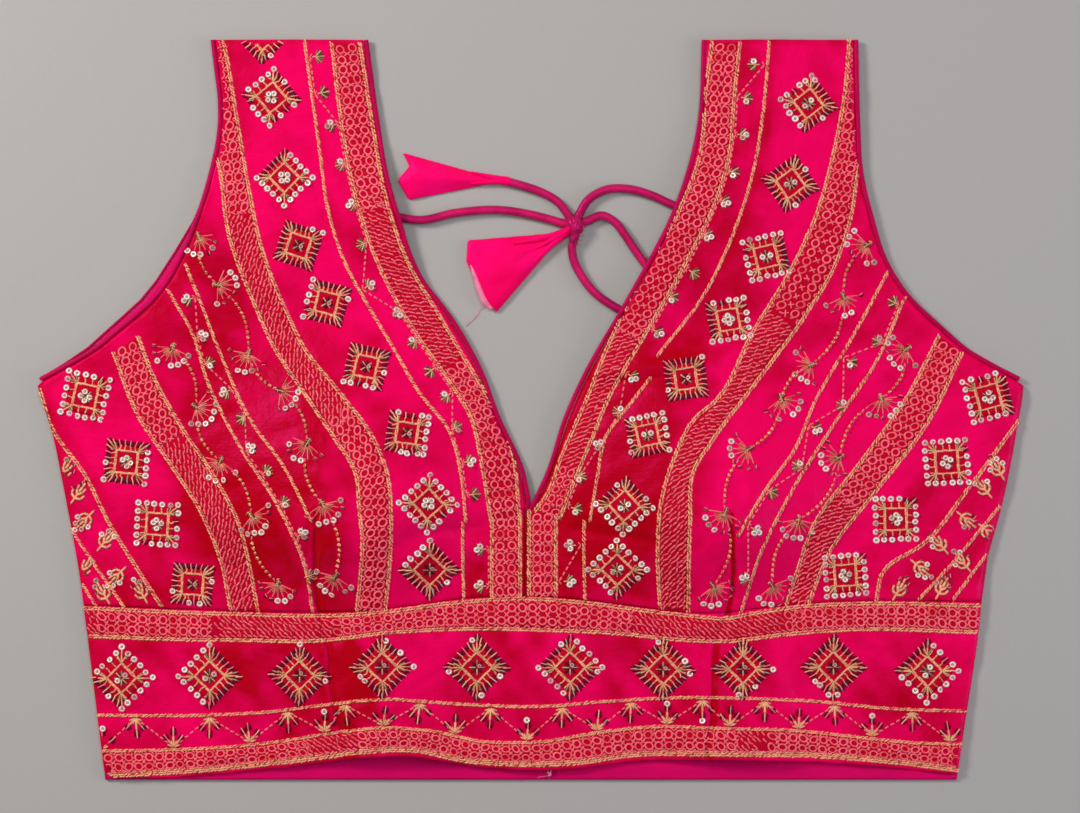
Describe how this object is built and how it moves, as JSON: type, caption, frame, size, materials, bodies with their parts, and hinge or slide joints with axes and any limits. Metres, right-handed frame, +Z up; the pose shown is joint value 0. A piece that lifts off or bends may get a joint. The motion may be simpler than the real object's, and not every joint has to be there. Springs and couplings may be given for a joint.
{
  "type": "choli blouse, laid flat",
  "caption": "Sleeveless, deep-V choli blouse in pink satin with gold embroidery, laid flat front up, its open back tied by a cord bow with cloth latkans.",
  "frame": {"origin": "bottom centre of the blouse's bounding box, on the surface it lies on", "axes": "+X to the right of the blouse as it lies front up, +Y towards the shoulders, +Z up"},
  "size_m": [0.4934, 0.3701, 0.0283],
  "materials": {
    "front_satin": "glossy hot pink satin, embroidered",
    "back_satin": "plain pink satin, inner side",
    "piping_satin": "rolled deep pink satin",
    "dori_satin": "rolled magenta satin cord",
    "latkan_satin": "glossy hot pink satin",
    "gold_zari": "metallic gold thread, couched and satin stitched",
    "coral_thread": "salmon pink embroidery thread",
    "sequins": "small pale metallic sequins, some smoky"
  },
  "bodies": {
    "root": {"front_left": "front_satin", "front_right": "front_satin", "front_waist": "front_satin", "back_left": "back_satin", "back_right": "back_satin", "back_hook_placket": "back_satin", "piping_neck_left": "piping_satin", "piping_neck_right": "piping_satin", "piping_armhole_left": "piping_satin", "piping_armhole_right": "piping_satin", "piping_back_neck_left": "piping_satin", "piping_back_neck_right": "piping_satin", "piping_back_armhole_left": "piping_satin", "piping_back_armhole_right": "piping_satin", "dori_right_span": "dori_satin", "dori_bow_loop": "dori_satin", "dori_left_span": "dori_satin", "dori_upper_tail": "dori_satin", "dori_knot": "dori_satin", "latkan_lower": "latkan_satin", "latkan_upper": "latkan_satin"}
  },
  "joints": []
}
